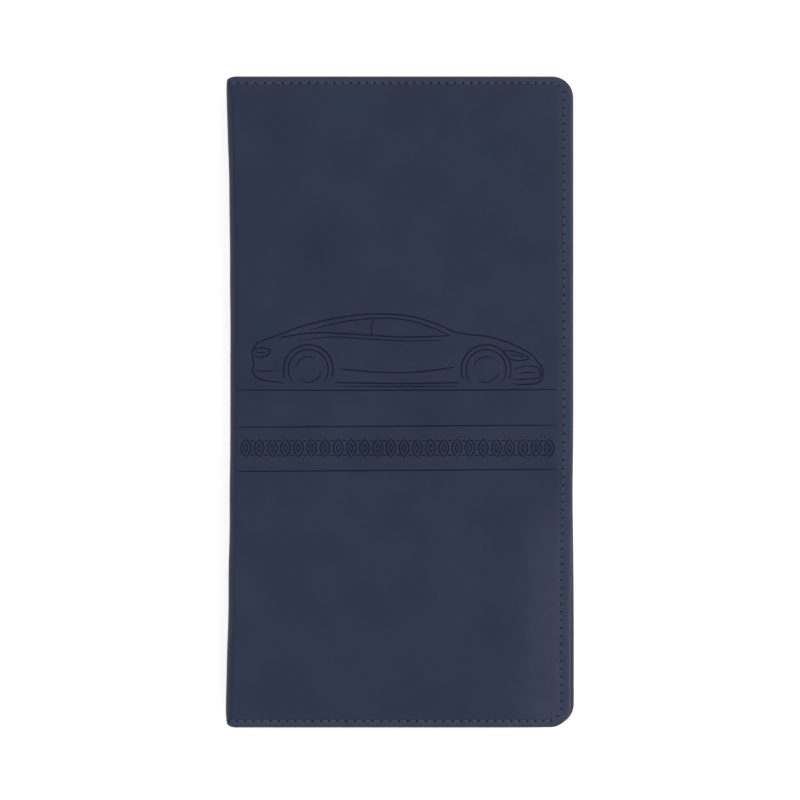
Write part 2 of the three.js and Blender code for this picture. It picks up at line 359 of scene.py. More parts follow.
def grid(us, ys):
    u, y = np.meshgrid(us, ys)
    return np.stack([u.ravel(), y.ravel()], -1)


def triangulate(chains, loose, keep=None):
    """Triangles over some chains of points, whose edges they keep, and some loose points.

    chains are (points, closed) pairs. Returns points, anticlockwise triangles and each chain's indices.
    """
    points = np.vstack([c for c, _ in chains] + list(loose))
    edges, first = [], 0
    for chain, closed in chains:
        n = len(chain)
        edges += [(first + i, first + (i + 1) % n) for i in range(n if closed else n - 1)]
        first += n
    found = geometry.delaunay_2d_cdt([Vector(p) for p in points.tolist()], edges, [], 0, 1e-5)
    xy = np.array([tuple(v) for v in found[0]])
    tris = np.array([f for f in found[2] if len(f) == 3])
    a, b, c = (xy[tris[:, i]] for i in range(3))
    area = (b[:, 0] - a[:, 0]) * (c[:, 1] - a[:, 1]) - (b[:, 1] - a[:, 1]) * (c[:, 0] - a[:, 0])
    tris[area < 0] = tris[area < 0][:, ::-1]
    good = np.abs(area) > 1e-9
    if keep is not None:
        good &= keep((a + b + c) / 3)
    where = np.zeros(len(points), int)
    for new, olds in enumerate(found[3]):
        for old in olds:
            where[old] = new
    runs, first = [], 0
    for chain, _ in chains:
        runs.append(where[first : first + len(chain)])
        first += len(chain)
    return xy, tris[good], runs


# ---- Making a Blender piece ----
MARKS = ("edge", "press", "rub")  # per point: how far it is on a rolled edge or the fold (shown as painted shade), how far it is pressed in (shown darker, with painted shade in grooves and needle holes), and its painted highlight


class Solid:
    """Points and faces gathered in flat coordinates, and the marks of each point."""

    def __init__(self):
        self.points, self.faces, self.count = [], [], 0
        self.marks = {mark: [] for mark in MARKS}

    def add(self, uy, h, **marks):
        """Adds points and returns their indices."""
        n = len(uy)
        self.points.append(np.column_stack([uy, np.broadcast_to(h, n)]))
        for mark in MARKS:
            self.marks[mark].append(np.broadcast_to(marks.get(mark, 0.0), n))
        self.count += n
        return np.arange(self.count - n, self.count)

    def strip(self, a, b, closed):
        """Quads between two runs of point indices."""
        n = len(a)
        for i in range(n if closed else n - 1):
            j = (i + 1) % n
            self.faces.append((a[i], a[j], b[j], b[i]))


def make_mesh(name, co, faces, flat, marks):
    mesh = bpy.data.meshes.new(name)
    mesh.from_pydata(co.tolist(), [], [tuple(int(i) for i in f) for f in faces])
    mesh.attributes.new("flat", "FLOAT_VECTOR", "POINT").data.foreach_set("vector", flat.astype("f").ravel())
    for mark, values in marks.items():
        mesh.attributes.new(mark, "FLOAT", "POINT").data.foreach_set("value", values.astype("f"))
    bm = bmesh.new()
    bm.from_mesh(mesh)
    loose = [v for v in bm.verts if not v.link_faces]
    bmesh.ops.delete(bm, geom=loose, context="VERTS")
    bmesh.ops.recalc_face_normals(bm, faces=bm.faces)
    bm.to_mesh(mesh)
    bm.free()
    mesh.shade_smooth()
    mesh.set_sharp_from_angle(angle=math.radians(38))
    piece = bpy.data.objects.new(name, mesh)
    bpy.context.scene.collection.objects.link(piece)
    return piece


def make(name, side, solid):
    """A Blender object of a Solid on one cover."""
    p = np.vstack(solid.points)
    flat = np.column_stack([across_both(side, p[:, 0]), p[:, 1:]]) * MM
    marks = {mark: np.concatenate(values) for mark, values in solid.marks.items()}
    return make_mesh(name, place(side, *p.T), solid.faces, flat, marks)


FOLD_START = {"back": (U_FOLD * MM, 0, 0), "front": (LEFT * MM, 0, (THICKNESS - FOLD_RADIUS) * MM)}
FOLD_END = {"back": (LEFT * MM, 0, FOLD_RADIUS * MM), "front": (U_FOLD * MM, 0, THICKNESS * MM)}


def finish_piece(piece, side, slot, replaced=(), folds=False):
    """Gives a piece its slot's material and hides the CAD parts it replaces; it rides on its cover, or if it
    crosses the fold only has its transform baked.
    """
    piece.data.materials.append(MATERIALS[slot])
    if replaced:
        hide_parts(*replaced)
    if not folds:
        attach(piece, f"{side}_cover")
    elif side == "back":
        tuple(FOLD_START[side])
        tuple(FOLD_END[side])
        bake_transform(piece)
    else:
        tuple(FOLD_START[side])
        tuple(FOLD_END[side])
        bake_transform(piece)


# ---- Camera: straight above, a little off the centre ----
LENS, SENSOR = 150, 36
VIEW_WIDTH = 300.6  # what the frame spans at the front cover's face
camera_data = bpy.data.cameras.new("camera")
camera_data.lens = LENS
camera_data.sensor_width = SENSOR
camera = bpy.data.objects.new("camera", camera_data)
camera.location = (0.26 * MM, 0.75 * MM, (THICKNESS + VIEW_WIDTH * LENS / SENSOR) * MM)
bpy.context.scene.collection.objects.link(camera)
bpy.context.scene.camera = camera


# ---- Materials ----
def new_material(name):
    material = bpy.data.materials.new(name)
    material.use_nodes = True
    tree = material.node_tree
    return material, tree, tree.nodes["Principled BSDF"]


def give(tree, made, inputs):
    """Sets a node's inputs to plain values, or links other nodes' outputs to them."""
    for key, value in inputs.items():
        if isinstance(value, bpy.types.NodeSocket):
            tree.links.new(value, made.inputs[key])
        else:
            made.inputs[key].default_value = value


def node(tree, kind, inputs=None, **settings):
    made = tree.nodes.new(kind)
    for key, value in settings.items():
        setattr(made, key, value)
    give(tree, made, inputs or {})
    return made


def math_node(tree, operation, a, b=0.0, clamp=False):
    return node(tree, "ShaderNodeMath", {0: a, 1: b}, operation=operation, use_clamp=clamp).outputs[0]


def times(tree, a, b):
    return math_node(tree, "MULTIPLY", a, b)


def total(tree, *shares):
    """The sum of some (value, share) pairs."""
    out = None
    for value, share in shares:
        part = times(tree, value, share)
        out = part if out is None else math_node(tree, "ADD", out, part)
    return out


def noise(tree, coords, scale, detail=3.0, rough=0.55):
    inputs = {"Vector": coords, "Scale": scale, "Detail": detail, "Roughness": rough}
    return node(tree, "ShaderNodeTexNoise", inputs).outputs["Fac"]


def mapped(tree, value, low, high, to_low, to_high):
    inputs = {"Value": value, "From Min": low, "From Max": high, "To Min": to_low, "To Max": to_high}
    return node(tree, "ShaderNodeMapRange", inputs).outputs["Result"]


def mixed(tree, share, a, b):
    return node(tree, "ShaderNodeMix", {0: share, 6: a, 7: b}, data_type="RGBA").outputs[2]


def attribute(tree, name, output="Fac"):
    return node(tree, "ShaderNodeAttribute", attribute_name=name).outputs[output]


def bumped(tree, shader, height, strength, distance):
    """Gives the shader a bump of the given height, and returns the bump's normal."""
    inputs = {"Strength": strength, "Distance": distance * MM, "Height": height}
    normal = node(tree, "ShaderNodeBump", inputs).outputs["Normal"]
    tree.links.new(normal, shader.inputs["Normal"])
    return normal


def leather(name, dark, light, roughness, grain=1.0):
    """Imitation leather: cloudy colour, fine pebble grain and creases, darker and smoother where pressed, with
    painted shade on its edges, grooves and needle holes, and a painted highlight where marked.
    """
    material, tree, shader = new_material(name)
    flat = attribute(tree, "flat", "Vector")
    press, edge, rub = (attribute(tree, mark) for mark in ("press", "edge", "rub"))
    clouds = noise(tree, flat, 28, 4)
    specks = noise(tree, flat, 900, 2)
    tone = total(tree, (clouds, 0.75), (specks, 0.25))
    colour = mixed(tree, mapped(tree, tone, 0.35, 0.65, 0, 1), dark, light)
    # Painted highlight: a paler navy, in patches, where the highlight mark is set.
    highlight_patches = mapped(tree, noise(tree, flat, 220, 4), 0.3, 0.7, 0.3, 0.5)
    colour = mixed(tree, times(tree, rub, highlight_patches), colour, (0.048, 0.057, 0.106, 1))
    # Painted shade: a darker blue over the edge mark, on rolled edges and along the spine's fold.
    colour = mixed(tree, times(tree, edge, 0.76), colour, (0.0035, 0.0042, 0.0220, 1))
    # Darker where pressed in: compressed leather, and painted shade in the grooves and needle holes.
    colour = mixed(tree, times(tree, press, 0.5), colour, (0.003, 0.004, 0.008, 1))

    pebbles = node(tree, "ShaderNodeTexVoronoi", {"Vector": flat, "Scale": 1350}, feature="SMOOTH_F1")
    creases = node(tree, "ShaderNodeTexVoronoi", {"Vector": flat, "Scale": 420}, feature="DISTANCE_TO_EDGE")
    crease = mapped(tree, creases.outputs["Distance"], 0, 0.08, 0, 1)
    fine, broad = noise(tree, flat, 3200, 2), noise(tree, flat, 140, 3)
    height = total(tree, (pebbles.outputs["Distance"], 0.9), (crease, 0.25), (fine, 0.5), (broad, 1.6))
    strength = math_node(tree, "SUBTRACT", 0.55 * grain, times(tree, press, 0.4 * grain))
    bumped(tree, shader, height, strength, 0.05)

    rough = mapped(tree, noise(tree, flat, 60, 4), 0.3, 0.7, roughness - 0.05, roughness + 0.06)
    rough = math_node(tree, "SUBTRACT", rough, times(tree, press, 0.14))
    give(tree, shader, {"Base Color": colour, "Roughness": rough, "Specular IOR Level": 0.36})
    return material


def woven(name, dark, light, pitch):
    """Plain weave: two sets of threads crossing, one over the other in turn."""
    material, tree, shader = new_material(name)
    flat = attribute(tree, "flat", "Vector")
    parts = node(tree, "ShaderNodeSeparateXYZ", {"Vector": flat})
    turns = math.pi / (pitch * MM)
    across, along = (math_node(tree, "SINE", times(tree, parts.outputs[axis], turns)) for axis in "XY")
    crossing = times(tree, across, along)
    fibres = noise(tree, flat, 2600, 3)
    tone = total(tree, (mapped(tree, crossing, -1, 1, 0, 1), 0.6), (fibres, 0.4))
    height = total(tree, (math_node(tree, "ABSOLUTE", crossing), 1.0), (fibres, 0.4))
    bumped(tree, shader, height, 0.6, 0.08)
    rough = mapped(tree, fibres, 0.3, 0.7, 0.75, 0.92)
    give(tree, shader, {"Base Color": mixed(tree, tone, dark, light), "Roughness": rough})
    give(tree, shader, {"Specular IOR Level": 0.2, "Sheen Weight": 0.08, "Sheen Roughness": 0.5})
    return material


def twisted(name, dark, light):
    """Sewing thread: plies winding round, where flat holds the way along and the way round. Its colour is
    paler on the plies' crests and darker in the grooves between them: painted shade.
    """
    material, tree, shader = new_material(name)
    flat = attribute(tree, "flat", "Vector")
    parts = node(tree, "ShaderNodeSeparateXYZ", {"Vector": flat})
    winding = total(tree, (parts.outputs["X"], 9000), (parts.outputs["Y"], 1))
    ply = mapped(tree, math_node(tree, "SINE", winding), -1, 1, 0, 1)
    fibres = noise(tree, flat, 5000, 2)
    # Painted shade: the colour follows the plies, darker in their grooves.
    colour = mixed(tree, total(tree, (ply, 0.6), (fibres, 0.4)), dark, light)
    bumped(tree, shader, ply, 0.7, 0.08)
    rough = mapped(tree, fibres, 0.3, 0.7, 0.5, 0.7)
    give(tree, shader, {"Base Color": colour, "Roughness": rough, "Sheen Weight": 0.2})
    return material


def clear_sheet(name):
    """Soft clear plastic: it mirrors more at a slant, and is a little uneven."""
    material, tree, shader = new_material(name)
    flat = attribute(tree, "flat", "Vector")
    normal = bumped(tree, shader, noise(tree, flat, 45, 2), 0.35, 0.6)
    rough = mapped(tree, noise(tree, flat, 300, 3), 0.3, 0.7, 0.06, 0.13)
    give(tree, shader, {"Base Color": (0.94, 0.96, 0.98, 1), "Roughness": rough, "Metallic": 1.0})
    clear = node(tree, "ShaderNodeBsdfTransparent", {"Color": (0.985, 0.99, 0.99, 1)})
    slant = node(tree, "ShaderNodeLayerWeight", {"Blend": 0.5, "Normal": normal}).outputs["Facing"]
    grazing = times(tree, math_node(tree, "POWER", slant, 5.0), 0.9)
    share = math_node(tree, "ADD", grazing, 0.04, clamp=True)
    both = node(tree, "ShaderNodeMixShader", {0: share, 1: clear.outputs[0], 2: shader.outputs[0]})
    give(tree, tree.nodes["Material Output"], {"Surface": both.outputs[0]})
    return material


def grey_board(name):
    """Pressed board: short fibres in grey and brown."""
    material, tree, shader = new_material(name)
    coords = node(tree, "ShaderNodeTexCoord").outputs["Object"]
    fibres = noise(tree, coords, 1400, 5, 0.7)
    share = mapped(tree, fibres, 0.35, 0.65, 0, 1)
    colour = mixed(tree, share, (0.16, 0.14, 0.12, 1), (0.34, 0.31, 0.27, 1))
    bumped(tree, shader, fibres, 0.5, 0.1)
    give(tree, shader, {"Base Color": colour, "Roughness": 0.9})
    return material


def plated(name):
    """Nickel plating with fine scratches."""
    material, tree, shader = new_material(name)
    coords = node(tree, "ShaderNodeTexCoord").outputs["Object"]
    scratches = noise(tree, coords, 2400, 3)
    colour = mixed(tree, scratches, (0.5, 0.5, 0.5, 1), (0.66, 0.65, 0.63, 1))
    rough = mapped(tree, scratches, 0.3, 0.7, 0.22, 0.4)
    give(tree, shader, {"Base Color": colour, "Roughness": rough, "Metallic": 1.0})
    return material


NAVY = (0.0124, 0.0209, 0.0498, 1), (0.0155, 0.0253, 0.059, 1)
DULL_NAVY = (0.012, 0.0185, 0.041, 1), (0.016, 0.024, 0.052, 1)
MATERIALS = {
    "outer_leather": leather("navy_leather", *NAVY, 0.5),
    "inner_leather": leather("navy_inner_leather", *DULL_NAVY, 0.58, 1.3),
    "lining_fabric": woven("lining_cloth", (0.005, 0.007, 0.014, 1), (0.017, 0.022, 0.040, 1), 0.5),
    "seam_thread": twisted("navy_thread", (0.014, 0.020, 0.041, 1), (0.036, 0.049, 0.088, 1)),
    "clear_plastic": clear_sheet("clear_plastic"),
    "stiffener_board": grey_board("grey_board"),
    "magnet_steel": plated("nickel_plate"),
}


# ---- The pressed drawing: a coupe from the side, and a border of pointed ovals between two rules ----
def stroke(points, weight=1.0, step=0.8):
    """A pressed line through the points, thinner at its ends: (line, closed, widths)."""
    line = curve(points, step)
    along = np.linspace(0, math.pi, len(line))
    return line, False, weight * (TAPER + (1 - TAPER) * np.sqrt(np.sin(along).clip(0)))


def ring(line, weight=1.0):
    return line, True, np.full(len(line), weight)


def straightened(strokes):
    """The strokes moved so that they stand where they were drawn on the bowed cover."""
    bow_here = 0.95 * BOW
    for line, _, _ in strokes:
        line[:, 0] -= bow_here * (1 - smooth((line[:, 0] - U_FOLD) / BOW_FADE))
    return strokes


def coupe():
    """The lines of a plain two-door car that faces the free edge."""
    rear, nose, axle = -34.2, 32.6, 12.2  # wheel centres
    roof = [(-54, 22.2), (-46, 25), (-35, 28.9), (-21, 32), (-8, 33.1), (4, 32.2), (14, 29.3), (21.5, 25.9)]
    tail = [(-53.4, 22.4), (-55.6, 18.8), (-54.9, 14.8), (-55.3, 11.2), (-52.6, 8.6), (-44.6, 7.3)]
    strokes = [
        stroke(roof, 1.25),
        stroke([(19, 26.6), (26, 25.4), (34, 24.4), (42, 21.9), (49.5, 17.9), (53.4, 13.2)], 1.15),
        stroke(tail, 1.15),
        stroke([(53.4, 14), (54, 10.2), (52.2, 7.3), (47, 6.6), (42.8, 6.8)], 1.1),
        stroke([(-33, 27.2), (-20, 30.3), (-7, 31.5), (4, 30.5), (12.8, 27.7), (19, 24.9)], 0.9),
        stroke([(-45, 24.2), (-32, 26), (-16, 25.4), (2, 24.4), (19, 24.9)], 1.35),
        stroke([(-38, 23), (-26, 24.4), (-12, 23.7), (2, 22.9), (15, 23.2)], 0.7),
        stroke([(-9.6, 31), (-10.6, 28), (-10.2, 24.8)], 0.7),
        stroke([(-22, 12.3), (-8, 11.2), (6, 11.2), (20, 13)], 1.6),
        stroke([(-24, 7.3), (0, 6.9), (22.6, 7.3)], 1.3),
        stroke([(-22, 5.9), (0, 5.8), (21, 5.9)], 0.7),
        stroke([(38.4, 19.2), (43, 19), (48.6, 16.6), (45.4, 15.6), (41, 16.4), (38.4, 19.2)], 1.0),
        stroke([(41.4, 17.8), (44.6, 17.4), (46.6, 16.5)], 0.7),
        stroke([(43.4, 12.4), (48, 13.6), (52.4, 12.6), (52.6, 9.2), (47.6, 8.6), (43.6, 8.4)], 0.9),
        stroke([(44.8, 10.6), (48.4, 11.2), (51.4, 10.8)], 0.7),
        stroke([(-55.2, 19.6), (-51.6, 20.4), (-48.6, 19.2), (-50.4, 17.2), (-54.8, 16.9)], 1.1),
        stroke([(-53.6, 18.6), (-50.6, 18.6)], 0.8),
        stroke([(-54.6, 11.9), (-50.4, 11.6), (-47, 12)], 0.8),
        stroke([(-60.5, 4.5), (-30, 4.4), (0, 4.4), (30, 4.5), (59, 4.7)], 1.0),
    ]
    for cx in (rear, nose):
        strokes += [
            stroke(arc(cx, axle, 9.3, 9.3, 196, -18), 1.5),
            stroke(arc(cx, axle, 7.5, 7.5, 214, -34), 0.9),
            stroke(arc(cx, axle, 4.8, 4.8, 160, 60), 0.7),
            stroke(arc(cx, axle, 4.8, 4.8, 340, 240), 0.7),
        ]
    return strokes


BORDER_MIDDLE = -17.3
BORDER_HEIGHT = 6.4
BORDER_LEFT, BORDER_RIGHT = -60.2, 58.9
RULE_BELOW, RULE_ABOVE = -8.4, 8.2  # the two rules, from the border's middle
OVALS = 24


def pointed_oval(cx, cy, width, height):
    """Two arcs that meet in a point above and below."""
    half, rise = width / 2, height / 2
    radius = (half**2 + rise**2) / (2 * half)
    reach = math.degrees(math.asin(rise / radius))
    right = arc(cx + half - radius, cy, radius, radius, -reach, reach)
    left = arc(cx - half + radius, cy, radius, radius, 180 - reach, 180 + reach)
    return np.vstack([right[:-1], left[:-1]])


def border():
    """Pointed ovals, one in the other, with short bars between them, and the rules below and above."""
    strokes = []
    for rise in (RULE_BELOW, RULE_ABOVE):
        y = BORDER_MIDDLE + rise
        strokes.append(stroke([(BORDER_LEFT - 0.4, y - 0.4), (0, y), (BORDER_RIGHT, y + 0.4)], 1.0, 2))
    step = (BORDER_RIGHT - BORDER_LEFT) / OVALS
    for i in range(OVALS):
        cx = BORDER_LEFT + (i + 0.5) * step
        strokes.append(ring(pointed_oval(cx, BORDER_MIDDLE, 0.72 * step, BORDER_HEIGHT), 0.85))
        strokes.append(ring(pointed_oval(cx, BORDER_MIDDLE, 0.24 * step, 0.5 * BORDER_HEIGHT), 0.65))
        for rise in (-0.5, 0.5) if i else ():
            y = BORDER_MIDDLE + rise * 0.86 * BORDER_HEIGHT
            strokes.append(stroke([(cx - 0.66 * step, y), (cx - 0.34 * step, y)], 0.8))
    return strokes


def stroke_segments(strokes):
    """The (starts, ends, (widths at the starts, widths at the ends)) of all segments."""
    starts, ends = segments([(line, closed) for line, closed, _ in strokes])
    first = np.concatenate([w if closed else w[:-1] for _, closed, w in strokes])
    last = np.concatenate([np.roll(w, -1) if closed else w[1:] for _, closed, w in strokes])
    return starts, ends, (first, last)


def pressed(points, strokes):
    """How far each point is pressed in by the strokes, from 0 to 1."""
    share = np.zeros(len(points))
    starts, ends, widths = stroke_segments(strokes)
    low, high = starts.min(0) - 1, starts.max(0) + 1
    near = ((points > low) & (points < high)).all(1)
    share[near] = 1 - ramp(distances(points[near], starts, ends, widths), *STROKE[:2])
    return share


def rails(strokes):
    """The edges of the strokes' floors and mouths, as chains for the triangulation."""
    out = []
    for line, closed, widths in strokes:
        for half in STROKE:
            apart = (half * widths)[:, None]
            left, right = shifted(line, apart, closed), shifted(line, -apart, closed)
            if closed:
                out += [(left, True), (right, True)]
            else:
                out.append((np.vstack([left, right[::-1]]), True))
    return out


# ---- The seam's needle holes and stitches ----
def seam_path():
    """The stitch line of a cover, from the spine's middle round the free edge and back."""
    r = SEAM_CORNER
    cu, cy = RIGHT - SEAM_SIDE - r, TOP - SEAM_END - r
    turn = np.linspace(0, math.pi / 2, 13)
    return joined((U_MID, -cy - r), corner(cu, -cy, r, turn, 0), corner(cu, cy, r, turn, 1), (U_MID, cy + r))


def needle_holes(line, closed=False):
    """Points along a line at nearly even steps, which drift a little as the machine's feed does."""
    if closed:
        line = np.vstack([line, line[:1]])
    steps = np.linalg.norm(np.diff(line, axis=0), axis=1)
    along = np.concatenate([[0], np.cumsum(steps)])
    count = max(2, round(along[-1] / PITCH))
    k = np.arange(count)
    step = 1 + UNEVEN * (0.6 * np.sin(k / 11.3) + 0.4 * np.sin(k / 4.1 + 2))
    at = np.concatenate([[0], np.cumsum(step)])
    at *= along[-1] / at[-1]
    return np.stack([np.interp(at, along, line[:, i]) for i in range(2)], -1)


STITCH_T = np.array([0.07, 0.14, 0.27, 0.5, 0.73, 0.86, 0.93])
STITCH_WIDTH = np.array([0.45, 0.8, 1.0, 1.0, 1.0, 0.8, 0.45])
STITCH_LIFT = np.array([-0.42, -0.12, 0.1, 0.17, 0.1, -0.12, -0.42])
STITCH_SIDES = 7


def stitches(name, side, rows):
    """One object of all the stitches in rows of (needle holes, depth function, 1 outside or -1 inside)."""
    co, faces, flat = [], [], []
    angle = np.arange(STITCH_SIDES) / STITCH_SIDES * 2 * math.pi
    rings = len(STITCH_T)
    size = rings * STITCH_SIDES + 2
    last = (rings - 1) * STITCH_SIDES
    pairs = [(j, (j + 1) % STITCH_SIDES) for j in range(STITCH_SIDES)]
    starts = range(0, last, STITCH_SIDES)
    tube = [(i + j, i + k, i + k + STITCH_SIDES, i + j + STITCH_SIDES) for i in starts for j, k in pairs]
    tips = [tip for j, k in pairs for tip in ((k, j, size - 2), (last + j, last + k, size - 1))]
    count = 0
    for holes, depth, outward in rows:
        a, b = holes[:-1], holes[1:]
        pa, pb = (place(side, *p.T, depth(*p.T)) for p in (a, b))
        middle = (a + b) / 2
        deep = depth(*middle.T)
        normal = place(side, *middle.T, deep - outward * 0.05) - place(side, *middle.T, deep)
        normal /= np.linalg.norm(normal, axis=1)[:, None]
        forward = pb - pa
        across = np.cross(forward, normal)
        across /= np.linalg.norm(across, axis=1)[:, None]
        centre = pa[:, None] + forward[:, None] * STITCH_T[:, None]
        centre += normal[:, None] * (STITCH_LIFT * MM)[:, None]
        radius = THREAD_RADIUS * MM * STITCH_WIDTH
        ring = (
            centre[:, :, None]
            + across[:, None, None] * (radius[:, None] * np.cos(angle))[..., None]
            + normal[:, None, None] * (radius[:, None] * 0.85 * np.sin(angle))[..., None]
        )
        ends = centre[:, [0, -1]] - normal[:, None] * 0.06 * MM
        co.append(np.concatenate([ring.reshape(len(a), -1, 3), ends], 1).reshape(-1, 3))
        along = np.repeat(STITCH_T * PITCH * MM, STITCH_SIDES)
        round_about = np.tile(angle, rings)
        one = np.column_stack([along, round_about, np.zeros(len(along))])
        one = np.vstack([one, [[0, 0, 0], [PITCH * MM, 0, 0]]])
        flat.append(np.tile(one, (len(a), 1)))
        for first in range(count, count + len(a) * size, size):
            faces += [tuple(first + index for index in face) for face in tube + tips]
        count += len(a) * size
    return make_mesh(name, np.vstack(co), faces, np.vstack(flat), {})


# ---- The skin: one sheet per half, turned in round the board ----
def hem_face(u):
    """Depth of the turned-in edge's visible face."""
    return SKIN + 2 * GLUE + LINING_THICK + HEM_THICK + lift(u)


ROLL_ANGLES = np.radians([18, 38, 58, 78, 100, 122, 144, 162, 180])
MIDDLE = joined((U_MID, spaced(TOP - ROLL, -TOP + ROLL, 1.9)[1:]))  # down the spine's middle
INNER_INSET = 1.6  # of the skin's inner face


def highlight_share(side, u, y):
    """Painted highlight on the outer face: paler outside the seam, most along the bottom, and over the lower
    part of the front cover, most at its lower right.
    """
    q = seam_inside(u, y)
    rub = np.where(q < 0, 1, 0.12 * np.exp(-np.maximum(q, 0) / 2))
    rub = rub * (1 + 0.4 * smooth((-TOP + 6 - y) / 3))
    if side == "front":
        rub = np.maximum(rub, 0.1 * smooth((10 - y) / 80))
        rub = np.maximum(rub, 0.75 * smooth((u - 42) / 14) * smooth((-25 - y) / 40))
        rub = np.maximum(rub, 0.3 * smooth((-32 - u) / 30) * smooth((-20 - y) / 60))
    return rub


def fold_shade(u):
    """Painted shade along the fold where the skin turns into the spine, strongest at about 52 degrees of its
    turn.
    """
    turn = np.degrees((u - U_MID - HALF_SPINE) / FOLD_RADIUS)
    return np.exp(-(((turn - 52) / 34) ** 2))


def outer_face(solid, side, drawing):
    """Adds the skin's outer face. Returns the indices round it and down its middle, and the first's depths."""
    path = cover_path(ROLL)
    holes = needle_holes(seam_path())
    circle = np.radians(np.arange(10) * 36)
    circle = np.stack([np.cos(circle), np.sin(circle)], -1)
    chains = [(np.vstack([path, MIDDLE]), True)]
    chains += [(centre + circle * r, True) for centre in holes[1:-1] for r in NEEDLE]
    chains += rails(drawing)
    rows = np.arange(-TOP + 11, TOP - 10.5, 2.0)
    loose = [cover_path(inset)[1:-1] for inset in (2.1, 3.2, 4.3, 5.6, 7.2, 9.2)]
    loose.append(grid(spaced(U_MID, U_FOLD + 1.5, 0.6)[1:], rows))
    loose.append(grid(np.arange(U_FOLD + 2, RIGHT - 10.5, 2.0), rows))
    loose = np.vstack(loose)
    far = distances(loose, holes, holes) > 0.7
    if drawing:
        far &= distances(loose, *stroke_segments(drawing)[:2]) > 0.75
    xy, tris, runs = triangulate(chains, [loose[far]])
    press = pressed(xy, drawing) if drawing else np.zeros(len(xy))
    hole = 1 - ramp(distances(xy, holes, holes), *NEEDLE)
    depth = face_depth(side, *xy.T) + STROKE_DEPTH * press + NEEDLE_DEPTH * hole
    # Needle holes share the pressed mark, so their hollows get painted shade.
    dark = np.maximum(press, 0.8 * hole)
    # The face also takes its painted highlight and the fold's painted shade.
    index = solid.add(xy, depth, press=dark, rub=highlight_share(side, *xy.T), edge=fold_shade(xy[:, 0]))
    solid.faces += index[tris].tolist()
    n = len(path)
    return index[runs[0][:n]], index[runs[0][n:]], depth[runs[0][:n]]


def turned_edge(solid, side, outline, depth):
    """Rolls the skin round at its outline, then in to the hem's cut edge and back. Returns all the rows."""
    face = hem_face(cover_path(ROLL)[:, 0])
    inner = face - HEM_THICK
    rings = []  # (inset, depth, how much of an edge it is, which sets its painted shade)
    for a in ROLL_ANGLES:
        h = face / 2 * (1 - math.cos(a)) + depth * (1 - a / math.pi) ** 2
        rings.append((ROLL * (1 - math.sin(a)), h, math.sin(a)))
    rings += [(inset, face, 0) for inset in (3, 6, HEM_WIDTH - 0.25)]
    rings += [(HEM_WIDTH, face - HEM_CUT, 0.6), (HEM_WIDTH, inner + HEM_CUT, 0.6), (HEM_WIDTH - 0.2, inner, 0)]
    rings += [(6, inner, 0), (1.7, inner, 0), (1.12, (inner + SKIN) / 2, 0), (INNER_INSET, SKIN, 0)]
    rows = [outline]
    for inset, h, edge in rings:
        at = cover_path(inset)
        # The rolled edge takes its painted shade and part of the face's painted highlight.
        rows.append(solid.add(at, h, edge=edge, rub=0.6 * highlight_share(side, *at.T)))
        solid.strip(rows[-2], rows[-1], closed=False)
    return rows


def inner_face(solid, outline):
    """Adds the skin's inner face, under the board and lining. Returns the indices down its middle."""
    ys = np.arange(-TOP + 8, TOP - 7, 8.0)
    loose = [grid(spaced(U_MID, U_FOLD + 1.5, 1.2)[1:], ys), grid(np.arange(U_FOLD + 6, RIGHT - 6, 8.0), ys)]
    chain = np.vstack([cover_path(INNER_INSET), MIDDLE[::3]])
    xy, tris, runs = triangulate([(chain, True)], [np.vstack(loose)])
    new = solid.add(xy, SKIN)
    same = dict(zip(new[runs[0][: len(outline)]].tolist(), outline.tolist()))
    solid.faces += [[same.get(i, i) for i in f] for f in new[tris].tolist()]
    return new[runs[0][len(outline) :]]


def spine_cut(solid, loop):
    """Closes the cut at the spine's middle, where the two halves meet."""
    cut = np.vstack(solid.points)[loop][:, [1, 2]]
    _, tris, runs = triangulate([(cut, True)], [], keep=lambda p: within(p, cut))
    back_to = {int(o): loop[i] for i, o in enumerate(runs[0])}
    solid.faces += [[back_to[i] for i in f] for f in tris.tolist() if all(i in back_to for i in f)]


def skin(side, drawing):
    """The outer leather of one cover and half the spine, with its turned-in edges."""
    solid = Solid()
    outline, outer_mid, depth = outer_face(solid, side, drawing)
    rows = turned_edge(solid, side, outline, depth)
    inner_mid = inner_face(solid, rows[-1])
    bottom_end, top_end = [row[0] for row in rows], [row[-1] for row in rows]
    spine_cut(solid, bottom_end + inner_mid[::-1].tolist() + top_end[::-1] + outer_mid.tolist())
    return solid


for side, drawing in (("back", []), ("front", straightened(coupe() + border()))):
    piece = make(f"{side}_skin", side, skin(side, drawing))
    covered = [f"{side}_outer_leather"] + [f"{side}_hem_{where}" for where in ("top", "side", "bottom")]
    covered += ["spine_outer_leather"] if side == "front" else ["spine_hem_top", "spine_hem_bottom"]
    finish_piece(piece, side, "outer_leather", covered, folds=True)


